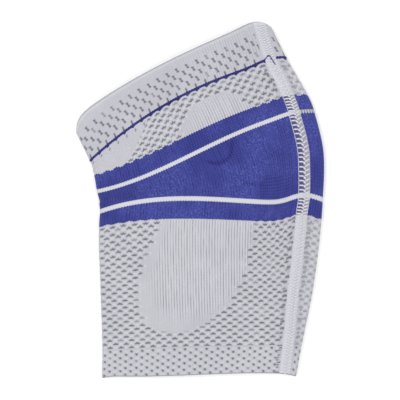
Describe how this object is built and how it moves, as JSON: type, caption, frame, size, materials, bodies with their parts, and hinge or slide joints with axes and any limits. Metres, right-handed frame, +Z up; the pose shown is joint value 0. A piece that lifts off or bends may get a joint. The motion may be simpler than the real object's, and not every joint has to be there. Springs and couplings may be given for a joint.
{
  "type": "knee sleeve",
  "caption": "Knitted knee sleeve lying flat, open at both ends, with a contrast knee band, white stripes, a ribbed oval, knitted cuffs and one flat-lock side seam.",
  "frame": {"origin": "on the surface the sleeve lies on, under the middle of its outline", "axes": "+Z up out of the upper face, +Y from the calf end to the thigh end, +X to the convex side of the knee"},
  "size_m": [0.195, 0.2802, 0.0222],
  "materials": {
    "grey_knit": "light grey jersey knit with small darker eyelets",
    "blue_knit": "dense blue jersey knit with faint lighter and darker flecks",
    "white_knit": "off-white jersey knit",
    "seam_thread": "flat-lock seam in off-white thread"
  },
  "bodies": {
    "root": {"calf_cuff": "grey_knit", "calf_panel": "grey_knit", "knee_band_lower": "blue_knit", "stripe_lower": "white_knit", "knee_band_middle": "blue_knit", "stripe_upper": "white_knit", "knee_band_upper": "blue_knit", "thigh_panel": "grey_knit", "cuff_line": "blue_knit", "thigh_cuff": "grey_knit", "side_seam": "seam_thread"}
  },
  "joints": []
}
